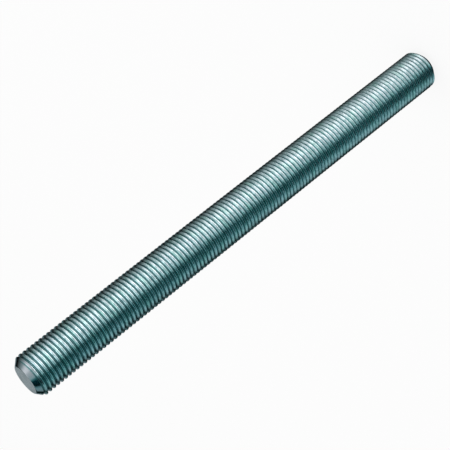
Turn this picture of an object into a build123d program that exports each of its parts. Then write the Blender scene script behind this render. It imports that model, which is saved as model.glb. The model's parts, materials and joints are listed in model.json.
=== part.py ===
from build123d import *
import os

# Driving sizes, in millimetres. The rod stands on its lower end, with its axis along +Z
# and its origin at the middle of that end's face.
thread_diameter = 12.0
rod_length = 150.0
end_face_diameter = 8.3
chamfer_angle = 45.0


def half_section():
    """The rod's section on one side of its axis, from the axis out to the thread's crests."""
    crest_radius = thread_diameter / 2
    face_radius = end_face_diameter / 2
    with BuildSketch(Plane.XZ) as section:
        with BuildLine():
            lower_chamfer = PolarLine((face_radius, 0), crest_radius - face_radius,
                                      chamfer_angle, length_mode=LengthMode.HORIZONTAL)
            upper_chamfer = PolarLine((face_radius, rod_length), crest_radius - face_radius,
                                      -chamfer_angle, length_mode=LengthMode.HORIZONTAL)
            Line(lower_chamfer @ 1, upper_chamfer @ 1)
            Polyline(upper_chamfer @ 0, (0, rod_length), (0, 0), lower_chamfer @ 0)
        make_face()
    return section.sketch


def threaded_rod():
    """The rod is one turned piece. Its wall is the cylinder that the thread's crests touch."""
    return revolve(half_section(), axis=Axis.Z)


os.makedirs("parts", exist_ok=True)
export_step(threaded_rod(), "parts/threaded_rod.step")
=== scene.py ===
"""Dresses the threaded rod: cuts its thread, plates its steel with zinc and lights it for its picture."""

import json
import logging
import math
from dataclasses import dataclass
from enum import Enum
from typing import Any, Callable

import bmesh
import bpy
from mathutils import Matrix, Vector


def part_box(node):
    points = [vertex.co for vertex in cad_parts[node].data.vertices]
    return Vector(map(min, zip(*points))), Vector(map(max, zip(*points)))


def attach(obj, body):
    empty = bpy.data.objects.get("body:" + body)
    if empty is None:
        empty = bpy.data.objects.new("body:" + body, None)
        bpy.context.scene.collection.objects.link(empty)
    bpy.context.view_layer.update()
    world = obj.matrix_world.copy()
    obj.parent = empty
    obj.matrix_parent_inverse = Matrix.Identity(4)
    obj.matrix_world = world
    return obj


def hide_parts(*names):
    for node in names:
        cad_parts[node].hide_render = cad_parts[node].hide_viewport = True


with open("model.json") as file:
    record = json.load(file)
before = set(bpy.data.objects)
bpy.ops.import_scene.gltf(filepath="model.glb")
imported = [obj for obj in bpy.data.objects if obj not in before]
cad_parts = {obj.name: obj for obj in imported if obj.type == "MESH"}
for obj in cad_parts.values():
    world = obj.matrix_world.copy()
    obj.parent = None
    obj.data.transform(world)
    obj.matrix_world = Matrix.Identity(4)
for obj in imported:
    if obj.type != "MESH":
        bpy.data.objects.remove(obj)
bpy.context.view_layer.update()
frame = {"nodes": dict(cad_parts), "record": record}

Colour = tuple[float, float, float]
Tones = tuple[tuple[float, Colour], ...]

MM = 0.001
DEGREES_IN_A_TURN = 360.0
SAME_HEIGHT = 0.01 * MM
NOISE_MIDDLE = 0.5
BLACK = (0.0, 0.0, 0.0)
WHITE = (1.0, 1.0, 1.0)
DEEP_TEAL = (0.07, 0.21, 0.22)

log = logging.getLogger("threaded_rod")


class Hand(Enum):
    """The way a thread climbs when it is followed anticlockwise, seen from above."""

    RIGHT = 1
    LEFT = -1


class Surface(Enum):
    """The rod's kinds of surface, by the number of the finish that each one wears."""

    THREAD = 0
    CHAMFER = 1
    END_FACE = 2


class Ray(Enum):
    """The kinds of ray that a shader can tell apart."""

    CAMERA = "Is Camera Ray"
    GLOSSY = "Is Glossy Ray"
    TRANSMISSION = "Is Transmission Ray"


def deselect_all() -> None:
    """Clears the selection, so that an operator acts on nothing but what is chosen next."""
    bpy.ops.object.select_all(action="DESELECT")


def make_active(thing: bpy.types.Object) -> None:
    """Selects one object alone and makes it the active one.

    Args:
        thing: The object that the next operators work on.
    """
    deselect_all()
    thing.select_set(True)
    bpy.context.view_layer.objects.active = thing


def select_vertices(thing: bpy.types.Object, test: Callable[[Vector], bool]) -> None:
    """Selects, in edit mode, the vertices whose place passes a test.

    Args:
        thing: The object in edit mode.
        test: Takes a vertex's place and says whether it is selected.
    """
    mesh = bmesh.from_edit_mesh(thing.data)
    for vertex in mesh.verts:
        vertex.select = test(vertex.co)
    mesh.select_flush_mode()
    bmesh.update_edit_mesh(thing.data)


def distance_from_axis(place: Vector) -> float:
    """Gives how far a place is from the rod's axis."""
    return math.hypot(place.x, place.y)


def share_of_turn(angle: Any, full_turn: float) -> Any:
    """Gives where an angle, from minus to plus half a turn, lies on a scale from 0 to 1.

    Args:
        angle: A number or a wire.
        full_turn: A whole turn, in the angle's unit.

    Returns:
        The place on the scale, as a number or a wire.
    """
    return angle / full_turn + 0.5


@dataclass(frozen=True)
class ThreadForm:
    """The section of a metric thread, from its pitch alone."""

    pitch: float = 1.25 * MM
    crest_share: float = 1 / 8
    root_share: float = 1 / 4
    depth_share: float = 17 / 24
    root_to_flank: float = 1 / 4
    crest_rounding_share: float = 0.03
    root_facets: int = 5

    @property
    def triangle_height(self) -> float:
        """Height of the sharp triangle that the section is cut from."""
        return self.pitch * math.sqrt(3) / 2

    @property
    def crest_cut(self) -> float:
        """How far the flat crest lies under the sharp triangle's tip."""
        return self.triangle_height * self.crest_share

    @property
    def crest_slope(self) -> float:
        """Length cut off each flank to leave a crest an eighth of the pitch wide."""
        return self.pitch * self.crest_share

    @property
    def root_slope(self) -> float:
        """Length of each flank that the round root takes up."""
        return self.pitch * self.root_share

    @property
    def depth(self) -> float:
        """Depth of the round root under the crest."""
        return self.triangle_height * self.depth_share

    @property
    def quarter(self) -> float:
        """Height from the middle of a flank to the crest or the root beside it."""
        return self.pitch * self.root_to_flank


@dataclass(frozen=True)
class RodBlank:
    """The rod's outer shape before its thread is cut: a bar with a chamfer at each end."""

    radius: float
    length: float
    face_radius: float
    chamfer_length: float

    @classmethod
    def from_frame(cls, node: str, mount: str) -> "RodBlank":
        """Reads the bar's sizes from the CAD node and from the mount on its wall.

        Args:
            node: Name of the rod's node.
            mount: Name of the mount that gives the threaded wall.

        Returns:
            The bar, in metres.
        """
        low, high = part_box(node)
        length = high.z - low.z
        wall = next(m for m in frame["record"]["mounts"] if m["name"] == mount)
        corners = [v.co for v in frame["nodes"][node].data.vertices]
        face_radius = max(distance_from_axis(co) for co in corners if co.z < low.z + SAME_HEIGHT)
        return cls(
            radius=wall["dims"]["r_mm"] * MM,
            length=length,
            face_radius=face_radius,
            chamfer_length=(length - wall["dims"]["length_mm"] * MM) / 2,
        )

    @property
    def chamfer_widening(self) -> float:
        """How much the chamfer's radius grows for each unit of its length."""
        return (self.radius - self.face_radius) / self.chamfer_length


@dataclass
class ThreadedRod:
    """The rod: a helical thread swept along the bar and turned down at both ends."""

    blank: RodBlank
    form: ThreadForm
    hand: Hand = Hand.RIGHT
    fit_allowance: float = 0.016 * MM
    steps_per_turn: int = 64
    end_facets: int = 128
    start_turns: float = -1.48
    rim_rounding: float = 0.2 * MM
    rim_facets: int = 2
    cone_tolerance: float = 0.005 * MM
    spare_turns: float = 0.5
    smooth_angle: float = math.radians(35)

    @property
    def crest_radius(self) -> float:
        """Radius of the crests, which a fit allowance keeps just under the nominal size."""
        return self.blank.radius - self.fit_allowance

    @property
    def section_start(self) -> float:
        """Height at which the section is drawn, on the +X side, which sets how the crests come round."""
        return self.start_turns * self.form.pitch

    @property
    def near(self) -> float:
        """Distance within which two places count as one."""
        return self.form.pitch / 1000

    @property
    def cut_tolerance(self) -> float:
        """Distance within which a place counts as lying on a cutting plane."""
        return self.form.pitch / 10000

    def build(self) -> bpy.types.Object:
        """Models the whole rod.

        Returns:
            The rod's object, at the origin, with its place in its mesh.
        """
        rod = self._draw_section()
        self._sweep(rod)
        self._close_ends(rod)
        self._turn_ends(rod)
        self._round_rims(rod)
        self._shade(rod)
        rod.name = "rod_with_thread"
        return rod

    def _draw_section(self) -> bpy.types.Object:
        """Draws one pitch of the thread's section as a chain of edges, from mid flank to mid flank.

        Returns:
            The section's object, in the XZ plane.
        """
        form = self.form
        half = form.triangle_height / 2
        middle = self.crest_radius + form.crest_cut - half

        def at_crest(corner: Vector) -> bool:
            """Says whether a corner lies nearer to the crest than to the middle of the flanks."""
            return corner.x > middle + half / 2

        def at_root(corner: Vector) -> bool:
            """Says whether a corner lies nearer to the root than to the middle of the flanks."""
            return corner.x < middle - half / 2

        deselect_all()
        bpy.ops.mesh.primitive_plane_add(size=form.pitch, location=(middle, 0, self.section_start))
        section = bpy.context.object
        bpy.ops.object.transform_apply(location=True, rotation=False, scale=False)
        bpy.ops.object.mode_set(mode="EDIT")
        bpy.ops.mesh.select_mode(type="VERT")
        bpy.ops.mesh.select_all(action="SELECT")
        bpy.ops.mesh.merge(type="CENTER")
        for outward, along in ((half, form.quarter), (-2 * half, 2 * form.quarter), (half, form.quarter)):
            bpy.ops.mesh.extrude_vertices_move(TRANSFORM_OT_translate={"value": (outward, 0, along)})
        self._cut_corners(section, at_crest, form.crest_slope)
        self._cut_corners(section, at_root, form.root_slope, form.root_facets)
        self._cut_corners(section, at_crest, form.pitch * form.crest_rounding_share)
        bpy.ops.object.mode_set(mode="OBJECT")
        return section

    @staticmethod
    def _cut_corners(section: bpy.types.Object, test: Callable[[Vector], bool], size: float,
                     facets: int = 1) -> None:
        """Flattens or rounds the section's corners that pass a test.

        Args:
            section: The chain of edges, in edit mode.
            test: Takes a corner's place and says whether it is cut.
            size: Length cut off each edge that meets there.
            facets: Number of edges that take the corner's place.
        """
        select_vertices(section, test)
        bpy.ops.mesh.bevel(offset=size, offset_type="OFFSET", segments=facets, affect="VERTICES",
                           clamp_overlap=False)

    def _sweep(self, rod: bpy.types.Object) -> None:
        """Screws the section along the axis and welds each turn to the next.

        Args:
            rod: The section, which becomes the thread's surface.
        """
        pitch = self.form.pitch
        turns = math.ceil(self.blank.length / pitch + 2 * self.spare_turns - self.start_turns)
        make_active(rod)
        screw = rod.modifiers.new("Sweep", "SCREW")
        screw.axis = "Z"
        screw.angle = self.hand.value * math.tau
        screw.screw_offset = pitch
        screw.iterations = turns
        screw.steps = self.steps_per_turn
        screw.render_steps = self.steps_per_turn
        bpy.ops.object.modifier_apply(modifier=screw.name)
        bpy.ops.object.mode_set(mode="EDIT")
        bpy.ops.mesh.select_all(action="SELECT")
        bpy.ops.mesh.remove_doubles(threshold=self.near)
        bpy.ops.object.mode_set(mode="OBJECT")

    def _close_ends(self, rod: bpy.types.Object) -> None:
        """Cuts the thread off flat a little past both ends of the rod and closes it.

        Args:
            rod: The thread's open surface.
        """
        spare = self.spare_turns * self.form.pitch
        make_active(rod)
        bpy.ops.object.mode_set(mode="EDIT")
        for height, outward in ((-spare, -1), (self.blank.length + spare, 1)):
            bpy.ops.mesh.select_all(action="SELECT")
            bpy.ops.mesh.bisect(plane_co=(0, 0, height), plane_no=(0, 0, outward), use_fill=True,
                                clear_outer=True, threshold=self.cut_tolerance)
        bpy.ops.mesh.select_all(action="SELECT")
        bpy.ops.mesh.normals_make_consistent(inside=False)
        bpy.ops.object.mode_set(mode="OBJECT")

    def _envelope(self) -> bpy.types.Object:
        """Models the chamfered bar that the thread is turned down to.

        Returns:
            A closed bar, a little wider than the crests so that only its ends cut.
        """
        blank = self.blank
        wide = blank.radius + self.form.depth
        rise = (wide - blank.face_radius) / blank.chamfer_widening
        deselect_all()
        bpy.ops.mesh.primitive_circle_add(vertices=self.end_facets, radius=blank.face_radius,
                                          fill_type="NGON", location=(0, 0, 0))
        bar = bpy.context.object
        bpy.ops.object.mode_set(mode="EDIT")
        bpy.ops.mesh.select_all(action="SELECT")
        for along, scale in (
            (rise, wide / blank.face_radius),
            (blank.length - 2 * rise, 1),
            (rise, blank.face_radius / wide),
        ):
            bpy.ops.mesh.extrude_region_move(TRANSFORM_OT_translate={"value": (0, 0, along)})
            bpy.ops.transform.resize(value=(scale, scale, 1), center_override=(0, 0, 0))
        bpy.ops.mesh.select_all(action="SELECT")
        bpy.ops.mesh.normals_make_consistent(inside=False)
        bpy.ops.object.mode_set(mode="OBJECT")
        return bar

    def _turn_ends(self, rod: bpy.types.Object) -> None:
        """Turns both ends of the thread down to the chamfers and the flat faces.

        Args:
            rod: The closed thread.
        """
        bar = self._envelope()
        make_active(rod)
        cut = rod.modifiers.new("Ends", "BOOLEAN")
        cut.operation = "INTERSECT"
        cut.solver = "EXACT"
        cut.object = bar
        bpy.ops.object.modifier_apply(modifier=cut.name)
        bpy.data.objects.remove(bar)

    def _round_rims(self, rod: bpy.types.Object) -> None:
        """Breaks the sharp edge between each end face and its chamfer.

        Args:
            rod: The rod with its ends turned.
        """
        make_active(rod)
        bpy.ops.object.mode_set(mode="EDIT")
        bpy.ops.mesh.select_mode(type="VERT")
        select_vertices(rod, self.on_end_face)
        bpy.ops.mesh.bevel(offset=self.rim_rounding, segments=self.rim_facets, affect="EDGES")
        bpy.ops.object.mode_set(mode="OBJECT")

    def _shade(self, rod: bpy.types.Object) -> None:
        """Shades the rod smooth up to an angle and keeps its end faces flat.

        Args:
            rod: The finished mesh.
        """
        make_active(rod)
        bpy.ops.object.shade_smooth_by_angle(angle=self.smooth_angle)
        bpy.ops.object.mode_set(mode="EDIT")
        select_vertices(rod, self.on_end_face)
        bpy.ops.mesh.mark_sharp()
        bpy.ops.object.mode_set(mode="OBJECT")

    def on_end_face(self, place: Vector) -> bool:
        """Says whether a place on the rod's surface lies on an end face."""
        return min(place.z, self.blank.length - place.z) < self.near

    def on_turned_end(self, place: Vector) -> bool:
        """Says whether a place on the rod's surface lies on a chamfer or an end face.

        Args:
            place: A vertex's place.

        Returns:
            True on the turned surfaces, False on the thread.
        """
        blank = self.blank
        from_end = min(place.z, blank.length - place.z)
        cone_radius = blank.face_radius + from_end * blank.chamfer_widening
        on_cone = distance_from_axis(place) > cone_radius - self.cone_tolerance
        return from_end < self.rim_rounding or on_cone

    def dress(self, rod: bpy.types.Object, finishes: dict[Surface, bpy.types.Material]) -> None:
        """Gives the thread, the chamfers and the end faces their finishes.

        Args:
            rod: The rod's object.
            finishes: The finish of each kind of surface.
        """
        rod.data.materials.clear()
        for surface in Surface:
            rod.data.materials.append(finishes[surface])
        turned = [self.on_turned_end(vertex.co) for vertex in rod.data.vertices]
        at_end = [self.on_end_face(vertex.co) for vertex in rod.data.vertices]
        for face in rod.data.polygons:
            if all(at_end[i] for i in face.vertices):
                face.material_index = Surface.END_FACE.value
            elif all(turned[i] for i in face.vertices):
                face.material_index = Surface.CHAMFER.value


class Graph:
    """A node tree, with one way to add a node and short names for what is added most."""

    def __init__(self, tree: bpy.types.NodeTree) -> None:
        """Empties the tree.

        Args:
            tree: The node tree of a material or of the world.
        """
        self.tree = tree
        tree.nodes.clear()

    def add(self, kind: str, settings: dict[str, Any] | None = None, **inputs: Any) -> bpy.types.Node:
        """Adds one node.

        Args:
            kind: The node's type.
            settings: Its own properties; "stops" gives a colour ramp's places and colours.
            inputs: What each socket takes, by name with _ for a space: a wire, a socket or a value.

        Returns:
            The node.
        """
        node = self.tree.nodes.new(kind)
        for name, value in (settings or {}).items():
            if name == "stops":
                self._set_stops(node.color_ramp, value)
            else:
                setattr(node, name, value)
        for name, value in inputs.items():
            self.feed(self._socket(node, name), value)
        return node

    @staticmethod
    def _socket(node: bpy.types.Node, name: str) -> bpy.types.NodeSocket:
        """Finds an input by its name, or by its number after the letter i.

        Args:
            node: The node that has the input.
            name: Its name with _ for a space, or i0, i1 and so on.

        Returns:
            The enabled input.
        """
        if name[0] == "i" and name[1:].isdigit():
            return node.inputs[int(name[1:])]
        plain = name.replace("_", " ")
        return next(s for s in node.inputs if s.name == plain and s.enabled)

    @staticmethod
    def _set_stops(ramp: bpy.types.ColorRamp, stops: list[tuple[float, Colour]]) -> None:
        """Sets a ramp's stops.

        Args:
            ramp: The colour ramp.
            stops: Pairs of a place and a colour, from low to high.
        """
        while len(ramp.elements) < len(stops):
            ramp.elements.new(1.0)
        for element, (place, colour) in zip(ramp.elements, stops):
            element.position = place
            element.color = (*colour, 1.0)

    def feed(self, socket: bpy.types.NodeSocket, value: Any) -> None:
        """Links or sets one input.

        Args:
            socket: The input.
            value: A wire, an output socket, a number, a vector or a colour.
        """
        if isinstance(value, Wire):
            self.tree.links.new(value.socket, socket)
        elif isinstance(value, bpy.types.NodeSocket):
            self.tree.links.new(value, socket)
        elif socket.type == "RGBA" and len(value) == 3:
            socket.default_value = (*value, 1.0)
        else:
            socket.default_value = value

    def mix(self, share: Any, first: Any, second: Any) -> bpy.types.NodeSocket:
        """Mixes two colours.

        Args:
            share: How much of the second colour there is, from 0 to 1.
            first: A colour or its socket.
            second: A colour or its socket.

        Returns:
            The mixed colour's socket.
        """
        node = self.add("ShaderNodeMix", {"data_type": "RGBA"}, Factor=share, A=first, B=second)
        return next(s for s in node.outputs if s.enabled)

    def noise(self, place: Any, scale: float, detail: float = 2.0, grit: float = 0.5) -> "Wire":
        """Gives a soft random value from 0 to 1.

        Args:
            place: The vector socket that the noise is read at.
            scale: Waves for each unit of that vector.
            detail: Number of finer layers.
            grit: How strong the finer layers are, from 0 to 1.

        Returns:
            The value.
        """
        node = self.add("ShaderNodeTexNoise", None, Vector=place, Scale=scale, Detail=detail, Roughness=grit)
        return Wire(self, node.outputs[0])

    def vector(self, x: Any, y: Any, z: Any) -> bpy.types.NodeSocket:
        """Joins three values into a vector's socket."""
        return self.add("ShaderNodeCombineXYZ", None, X=x, Y=y, Z=z).outputs[0]

    def axes(self, place: Any) -> list["Wire"]:
        """Splits a vector's socket into its three values."""
        node = self.add("ShaderNodeSeparateXYZ", None, Vector=place)
        return [Wire(self, socket) for socket in node.outputs]

    def rays(self, *kinds: Ray) -> "Wire":
        """Gives 1 on rays of the given kinds and 0 on all others.

        Args:
            kinds: One kind of ray or more.

        Returns:
            The value, 0 or 1.
        """
        path = self.add("ShaderNodeLightPath")
        wires = [Wire(self, path.outputs[kind.value]) for kind in kinds]
        return sum(wires[1:], wires[0])

    def metal(self, colour: Any, metallic: float, roughness: Any, relief: "Wire", bump: float,
              bump_depth: float) -> None:
        """Ends a material's tree in a plated surface with a fine relief.

        Args:
            colour: The metal's colour.
            metallic: How much of it is bare metal, from 0 to 1.
            roughness: The roughness, as a number or a wire.
            relief: The value that stands out of the surface as it rises.
            bump: How strongly the relief is seen, from 0 to 1.
            bump_depth: How far the relief stands out, in metres.
        """
        normal = self.add("ShaderNodeBump", None, Strength=bump, Distance=bump_depth, Height=relief)
        shader = self.add("ShaderNodeBsdfPrincipled", None, Base_Color=colour, Metallic=metallic,
                          Roughness=roughness, Normal=normal.outputs[0])
        self.add("ShaderNodeOutputMaterial", None, Surface=shader.outputs[0])


class Wire:
    """A number that runs through a node tree, with arithmetic written as Math nodes."""

    def __init__(self, graph: Graph, socket: bpy.types.NodeSocket) -> None:
        """Wraps a socket.

        Args:
            graph: The tree that the socket is in.
            socket: The output that carries the number.
        """
        self.graph = graph
        self.socket = socket

    def _math(self, operation: str, *values: Any) -> "Wire":
        """Adds a Math node.

        Args:
            operation: The node's operation.
            values: Its inputs, in order.

        Returns:
            The result.
        """
        inputs = {f"i{place}": value for place, value in enumerate(values)}
        node = self.graph.add("ShaderNodeMath", {"operation": operation}, **inputs)
        return Wire(self.graph, node.outputs[0])

    def __add__(self, other: Any) -> "Wire":
        """Adds."""
        return self._math("ADD", self, other)

    __radd__ = __add__

    def __sub__(self, other: Any) -> "Wire":
        """Subtracts."""
        return self._math("SUBTRACT", self, other)

    def __rsub__(self, other: Any) -> "Wire":
        """Subtracts from a number."""
        return self._math("SUBTRACT", other, self)

    def __mul__(self, other: Any) -> "Wire":
        """Multiplies."""
        return self._math("MULTIPLY", self, other)

    __rmul__ = __mul__

    def __truediv__(self, other: Any) -> "Wire":
        """Divides."""
        return self._math("DIVIDE", self, other)

    def __rtruediv__(self, other: Any) -> "Wire":
        """Divides a number."""
        return self._math("DIVIDE", other, self)

    def root(self) -> "Wire":
        """Gives the square root."""
        return self._math("SQRT", self)

    def hypotenuse(self, other: "Wire") -> "Wire":
        """Gives the long side of the right triangle whose short sides are this value and another."""
        return (self * self + other * other).root()

    def fraction(self) -> "Wire":
        """Keeps what is left over a whole number."""
        return self._math("FRACT", self)

    def angle(self, x: "Wire") -> "Wire":
        """Gives the angle whose sine goes as this value and whose cosine goes as another.

        Args:
            x: The value that goes as the cosine.

        Returns:
            The angle, from minus pi to pi.
        """
        return self._math("ARCTAN2", self, x)

    def step(self, low: float, high: float) -> "Wire":
        """Rises softly from 0 at one value to 1 at another.

        Args:
            low: Where it leaves 0.
            high: Where it reaches 1.

        Returns:
            The value from 0 to 1.
        """
        node = self.graph.add("ShaderNodeMapRange", {"interpolation_type": "SMOOTHSTEP"},
                              Value=self, From_Min=low, From_Max=high)
        return Wire(self.graph, node.outputs[0])


def blank_material(name: str) -> tuple[bpy.types.Material, Graph]:
    """Makes a material whose node tree is empty.

    Args:
        name: The material's name.

    Returns:
        The material and its graph.
    """
    material = bpy.data.materials.new(name)
    material.use_nodes = True
    return material, Graph(material.node_tree)


@dataclass(frozen=True)
class Layer:
    """A colour that lies over a finish where a value is high, with a soft edge."""

    colour: Colour
    low: float
    high: float
    strength: float

    def over(self, below: Any, value: Wire) -> bpy.types.NodeSocket:
        """Lays the colour over another.

        Args:
            below: The colour under it, or that colour's socket.
            value: The value that brings the layer out as it rises from low to high.

        Returns:
            The socket of both colours together.
        """
        return value.graph.mix(value.step(self.low, self.high) * self.strength, below, self.colour)


@dataclass(frozen=True)
class Patches:
    """Soft patches in a plating, with one size across the rod and another along it."""

    width: float
    height: float
    detail: float = 2.0
    grit: float = 0.5
    shift: tuple[float, float, float] = (0.0, 0.0, 0.0)

    def value(self, axes: list[Wire]) -> Wire:
        """Gives the patches as a soft random value.

        Args:
            axes: The place on the rod, as its x, y and z.

        Returns:
            The value, about 0.5 on average.
        """
        graph = axes[0].graph
        sizes = (self.width, self.width, self.height)
        place = [axis / size + shift for axis, size, shift in zip(axes, sizes, self.shift)]
        return graph.noise(graph.vector(*place), 1.0, self.detail, self.grit)


@dataclass(frozen=True)
class ZincPlate:
    """Bright zinc with a blue-green passivation film, as it lies on a thread, with painted shade darkening
    its roots.
    """

    colour: Colour = (0.80, 0.98, 1.0)
    lilac: Layer = Layer((0.81, 0.95, 1.0), low=0.48, high=0.66, strength=0.8)
    lilac_patches: Patches = Patches(5 * MM, 1.6 * MM)
    green: Layer = Layer((0.62, 0.93, 0.87), low=0.5, high=0.68, strength=0.8)
    green_patches: Patches = Patches(5 * MM, 1.6 * MM, shift=(7.3, 2.9, 5.1))
    stain: Layer = Layer(DEEP_TEAL, low=0.43, high=0.62, strength=0.42)
    stain_patches: Patches = Patches(1.4 * MM, 0.7 * MM, detail=3.0, grit=0.6)
    streak: Layer = Layer(DEEP_TEAL, low=0.48, high=0.7, strength=0.38)
    # Painted shade: deep teal laid into the thread's roots, stronger the deeper the groove.
    root: Layer = Layer(DEEP_TEAL, low=0.4, high=0.9, strength=0.9)
    lines_in_a_pitch: float = 9.0
    line_length: float = 2.5 * MM
    line_share: float = 0.6
    grain_size: float = 0.22 * MM
    fine_detail: float = 2.0
    fine_grit: float = 0.6
    metal: float = 1.0
    roughness: float = 0.20
    roughness_spread: float = 0.14
    dull_from: float = 0.5
    dull_by: float = 0.1
    bump: float = 0.4
    bump_depth: float = 0.02 * MM

    def material(self, rod: ThreadedRod) -> bpy.types.Material:
        """Makes the thread's finish.

        Args:
            rod: The rod, which gives the crests' and roots' radii and the turns' places.

        Returns:
            The material.
        """
        material, graph = blank_material("zinc_on_the_thread")
        place = graph.add("ShaderNodeTexCoord").outputs["Object"]
        axes = graph.axes(place)
        x, y, z = axes
        # From 0 on the crests to 1 in the roots.
        depth = (rod.crest_radius - x.hypotenuse(y)) / rod.form.depth
        turns = (z - rod.section_start) / rod.form.pitch - y.angle(x) / (rod.hand.value * math.tau)
        from_root = (turns + rod.form.root_to_flank).fraction()
        texture = self._texture(graph, place, axes, from_root)
        colour = self.lilac.over(self.colour, self.lilac_patches.value(axes))
        colour = self.green.over(colour, self.green_patches.value(axes))
        colour = self.stain.over(colour, self.stain_patches.value(axes))
        colour = self.streak.over(colour, texture)
        # Painted shade: the roots are darkened towards deep teal, standing in for the shade down in the
        # grooves.
        colour = self.root.over(colour, depth)
        spread = (texture - NOISE_MIDDLE) * self.roughness_spread
        roughness = self.roughness + spread + depth.step(self.dull_from, 1.0) * self.dull_by
        graph.metal(colour, self.metal, roughness, texture, self.bump, self.bump_depth)
        return material

    def _texture(self, graph: Graph, place: bpy.types.NodeSocket, axes: list[Wire],
                 from_root: Wire) -> Wire:
        """Gives the fine lines that run round the thread, with a grain in them.

        Args:
            graph: The material's graph.
            place: The place on the rod.
            axes: The same place, as its x, y and z.
            from_root: Where the place lies between one root and the next, from 0 to 1.

        Returns:
            The value, about 0.5 on average.
        """
        x, y, z = (axis / self.line_length for axis in axes)
        line_place = graph.vector(x, y, from_root * self.lines_in_a_pitch + z)
        lines = graph.noise(line_place, 1.0, self.fine_detail, self.fine_grit)
        grain = graph.noise(place, 1 / self.grain_size, self.fine_detail, self.fine_grit)
        return lines * self.line_share + grain * (1 - self.line_share)


@dataclass(frozen=True)
class TurnedMetal:
    """The same plating on a turned surface, with the fine rings that turning leaves."""

    name: str
    colour: Colour
    stain: Colour
    roughness: float
    metal: float
    stain_strength: float = 0.6
    ring_width: float = 0.30 * MM
    ring_edge: tuple[float, float] = (0.45, 0.7)
    ring_grit: float = 0.6
    ring_roughness: float = 0.2
    cloud_size: float = 2.5 * MM
    cloud_edge: tuple[float, float] = (0.45, 0.75)
    cloud_roughness: float = 0.08
    detail: float = 3.0
    bump: float = 0.12
    bump_depth: float = 0.02 * MM

    def material(self) -> bpy.types.Material:
        """Makes the finish of a turned surface.

        Returns:
            The material.
        """
        material, graph = blank_material(self.name)
        place = graph.add("ShaderNodeTexCoord").outputs["Object"]
        x, y, z = graph.axes(place)
        ring_place = graph.vector(x.hypotenuse(y) / self.ring_width, z / self.ring_width, 0.0)
        rings = graph.noise(ring_place, 1.0, self.detail, self.ring_grit)
        clouds = graph.noise(place, 1 / self.cloud_size, self.detail)
        colour = Layer(self.stain, *self.cloud_edge, self.stain_strength).over(self.colour, clouds)
        colour = Layer(self.stain, *self.ring_edge, self.stain_strength).over(colour, rings)
        spread = (rings - NOISE_MIDDLE) * self.ring_roughness
        roughness = self.roughness + spread + clouds * self.cloud_roughness
        graph.metal(colour, self.metal, roughness, rings, self.bump, self.bump_depth)
        return material


CHAMFER = TurnedMetal("zinc_on_the_chamfers", colour=(0.44, 0.51, 0.54), stain=(0.34, 0.41, 0.44),
                      roughness=0.04, metal=1.0)
END_FACE = TurnedMetal("dull_zinc_on_the_end_faces", colour=(0.42, 0.48, 0.50), stain=(0.22, 0.28, 0.30),
                       roughness=0.34, metal=0.6)


def facing(place: Vector, target: Vector) -> Matrix:
    """Gives the turn that points a lamp or the camera from one place to another.

    Args:
        place: Where the thing stands.
        target: What its -Z axis points at.

    Returns:
        The rotation with the place in it.
    """
    turn = (target - place).to_track_quat("-Z", "Y").to_matrix().to_4x4()
    return Matrix.Translation(place) @ turn


@dataclass(frozen=True)
class GroundCard:
    """A sheet on the floor round the rod's foot, whose tone changes with the direction and fades to black
    near the foot as a painted shadow.

    A tone's direction is in degrees, from 0 in front of the rod, at -Y, to 90 at -X and -90 at +X.
    """

    name: str
    size: float
    lift: float
    shade_from: float
    shade_to: float
    tones: Tones

    def build(self) -> bpy.types.Object:
        """Lays the sheet down.

        Returns:
            The sheet, which only reflections see.
        """
        deselect_all()
        bpy.ops.mesh.primitive_plane_add(size=self.size, location=(0, 0, self.lift))
        card = bpy.context.object
        card.name = self.name
        # Turned so that the front, at -Y, lies in the middle of the gradient.
        card.rotation_euler.z = -math.pi / 2
        material, graph = blank_material(self.name)
        place = graph.add("ShaderNodeTexCoord").outputs["Object"]
        turn = graph.add("ShaderNodeTexGradient", {"gradient_type": "RADIAL"}, Vector=place)
        x, y = graph.axes(place)[:2]
        # Painted shadow: the sheet is black within shade_from of the axis and reaches its full tone at
        # shade_to.
        clear_of_painted_foot_shadow = x.hypotenuse(y).step(self.shade_from, self.shade_to)
        stops = sorted((share_of_turn(-degrees, DEGREES_IN_A_TURN), tone) for degrees, tone in self.tones)
        ramp = graph.add("ShaderNodeValToRGB", {"stops": stops}, Fac=turn.outputs["Fac"])
        colour = graph.mix(clear_of_painted_foot_shadow, BLACK, ramp.outputs["Color"])
        glow = graph.add("ShaderNodeEmission", None, Color=colour, Strength=1.0)
        graph.add("ShaderNodeOutputMaterial", None, Surface=glow.outputs[0])
        card.data.materials.append(material)
        for kind in ("camera", "diffuse", "transmission", "volume_scatter", "shadow"):
            setattr(card, f"visible_{kind}", False)
        return card


@dataclass(frozen=True)
class Softbox:
    """A soft studio lamp."""

    name: str
    place: tuple[float, float, float]
    size: tuple[float, float]
    power: float

    def build(self, target: Vector) -> bpy.types.Object:
        """Hangs the lamp, facing the rod.

        Args:
            target: The point that it faces.

        Returns:
            The lamp.
        """
        lamp = bpy.data.lights.new(self.name, "AREA")
        lamp.shape = "RECTANGLE"
        lamp.size, lamp.size_y = self.size
        lamp.energy = self.power
        thing = bpy.data.objects.new(self.name, lamp)
        bpy.context.scene.collection.objects.link(thing)
        thing.matrix_world = facing(Vector(self.place), target)
        thing.visible_glossy = False
        return thing


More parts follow.
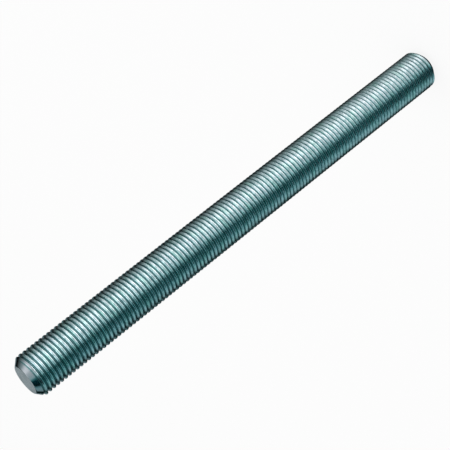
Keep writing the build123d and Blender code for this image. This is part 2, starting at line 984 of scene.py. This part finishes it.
@dataclass(frozen=True)
class Viewpoint:
    """The camera that sees the rod as the photograph does, from above its upper end."""

    azimuth: float = 0.0
    elevation: float = math.radians(24.93)
    distance: float = 327.3 * MM
    aim: tuple[float, float, float] = (-0.43 * MM, 0.0, 82.2 * MM)
    roll: float = math.radians(-128.3)
    lens: float = 98.3
    sensor_width: float = 36.0
    clip: tuple[float, float] = (0.01, 100.0)

    def build(self) -> bpy.types.Object:
        """Places the camera and makes it the scene's own.

        Returns:
            The camera.
        """
        data = bpy.data.cameras.new("camera")
        data.lens = self.lens
        data.sensor_width = self.sensor_width
        data.clip_start, data.clip_end = self.clip
        camera = bpy.data.objects.new("camera", data)
        bpy.context.scene.collection.objects.link(camera)
        aim = Vector(self.aim)
        level = math.cos(self.elevation)
        backwards = Vector((math.sin(self.azimuth) * level, -math.cos(self.azimuth) * level,
                            math.sin(self.elevation)))
        camera.matrix_world = (facing(aim + backwards * self.distance, aim)
                               @ Matrix.Rotation(self.roll, 4, "Z"))
        bpy.context.scene.camera = camera
        return camera


@dataclass(frozen=True)
class Studio:
    """The pale floor, the lamp and the toned surroundings that the rod reflects.

    The vault's tones go by a lean in degrees, from 0 at its top to 90 at -X and -90 at +X. Its tilt is how
    far its top leans towards -Y for each unit of height.
    """

    floor_size: float = 12.0
    floor_colour: Colour = (0.9, 0.9, 0.9)
    floor_glow: float = 0.88
    dim_world: float = 0.8
    target: tuple[float, float, float] = (0.0, 0.0, 75 * MM)
    key: Softbox = Softbox("key_lamp", place=(0.24, 0.10, 0.75), size=(0.40, 0.9), power=0.8)
    # The ground card's painted shadow round the rod's foot runs from shade_from to shade_to.
    ground: GroundCard = GroundCard("ground_card", size=12.0, lift=0.2 * MM, shade_from=4 * MM,
                                    shade_to=40 * MM, tones=(
        (-180, (0.16, 0.24, 0.26)),
        (-132, BLACK),
        (-115, (0.22, 0.26, 0.26)),
        (-95, (0.64, 0.70, 0.71)),
        (-72, (1.45, 1.40, 1.42)),
        (-52, (2.60, 2.16, 2.18)),
        (-38, (2.60, 2.16, 2.18)),
        (0, (1.44, 1.34, 1.36)),
        (20, (0.70, 0.90, 0.91)),
        (38, (0.02, 0.19, 0.19)),
        (68, (0.02, 0.14, 0.15)),
        (82, (0.07, 0.27, 0.29)),
        (98, (0.22, 0.43, 0.45)),
        (118, (0.14, 0.24, 0.26)),
        (130, BLACK),
        (156, (0.0, 0.01, 0.01)),
        (180, (0.16, 0.24, 0.26)),
    ))
    vault: Tones = (
        (-180, (0.34, 0.39, 0.41)),
        (-165, (0.34, 0.39, 0.41)),
        (-150, (0.08, 0.13, 0.14)),
        (-135, BLACK),
        (-112, BLACK),
        (-76, (0.15, 0.18, 0.18)),
        (-52, (0.38, 0.44, 0.45)),
        (-29, (1.20, 1.12, 1.14)),
        (-20, (1.20, 1.12, 1.14)),
        (-10, (0.68, 0.69, 0.71)),
        (0, (0.53, 0.58, 0.60)),
        (8, (0.38, 0.54, 0.55)),
        (14, (0.05, 0.21, 0.22)),
        (20, (0.0, 0.03, 0.04)),
        (42, (0.0, 0.01, 0.01)),
        (49, (0.10, 0.23, 0.25)),
        (62, (0.23, 0.39, 0.41)),
        (88, (0.24, 0.35, 0.37)),
        (108, (0.0, 0.01, 0.01)),
        (135, (0.0, 0.01, 0.01)),
        (150, (0.08, 0.14, 0.15)),
        (165, (0.34, 0.39, 0.41)),
        (180, (0.34, 0.39, 0.41)),
    )
    vault_tilt: float = 0.77

    def build(self) -> None:
        """Sets the whole studio up."""
        self._floor()
        self._world()
        self.key.build(Vector(self.target))
        self.ground.build()
        bpy.context.scene.view_settings.view_transform = "Standard"

    def _floor(self) -> None:
        """Lays the pale floor, part of whose white is its own so that its shadow stays light."""
        deselect_all()
        bpy.ops.mesh.primitive_plane_add(size=self.floor_size)
        floor = bpy.context.object
        floor.name = "floor"
        material, graph = blank_material(floor.name)
        share = graph.rays(Ray.CAMERA, Ray.GLOSSY, Ray.TRANSMISSION) * self.floor_glow
        lit = graph.add("ShaderNodeBsdfDiffuse", None, Color=self.floor_colour)
        glow = graph.add("ShaderNodeEmission", None, Color=WHITE, Strength=1.0)
        surface = graph.add("ShaderNodeMixShader", None, i0=share, i1=lit.outputs[0], i2=glow.outputs[0])
        graph.add("ShaderNodeOutputMaterial", None, Surface=surface.outputs[0])
        floor.data.materials.append(material)

    def _world(self) -> None:
        """Makes the world white to the eye, dimmer as a light and a toned vault in reflections."""
        world = bpy.data.worlds.new("studio")
        bpy.context.scene.world = world
        world.use_nodes = True
        graph = Graph(world.node_tree)
        x, y, z = graph.axes(graph.add("ShaderNodeTexCoord").outputs["Generated"])
        lean = share_of_turn((0.0 - x).angle(z - y * self.vault_tilt), math.tau)
        stops = [(share_of_turn(degrees, DEGREES_IN_A_TURN), tone) for degrees, tone in self.vault]
        ramp = graph.add("ShaderNodeValToRGB", {"stops": stops}, Fac=lean)
        colour = graph.mix(graph.rays(Ray.CAMERA, Ray.TRANSMISSION), (self.dim_world,) * 3, WHITE)
        colour = graph.mix(graph.rays(Ray.GLOSSY), colour, ramp.outputs["Color"])
        glow = graph.add("ShaderNodeBackground", None, Color=colour, Strength=1.0)
        graph.add("ShaderNodeOutputWorld", None, Surface=glow.outputs[0])


def main() -> None:
    """Builds the rod, dresses it and sets up its picture."""
    logging.basicConfig(level=logging.INFO, format="%(name)s: %(message)s")
    node = "threaded_rod"
    rod = ThreadedRod(RodBlank.from_frame(node, "thread"), ThreadForm())
    piece = rod.build()
    rod.dress(piece, {
        Surface.THREAD: ZincPlate().material(rod),
        Surface.CHAMFER: CHAMFER.material(),
        Surface.END_FACE: END_FACE.material(),
    })
    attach(piece, "root")
    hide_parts(node)
    log.info("%s has %d faces", piece.name, len(piece.data.polygons))
    Studio().build()
    Viewpoint().build()


if __name__ == "__main__":
    main()
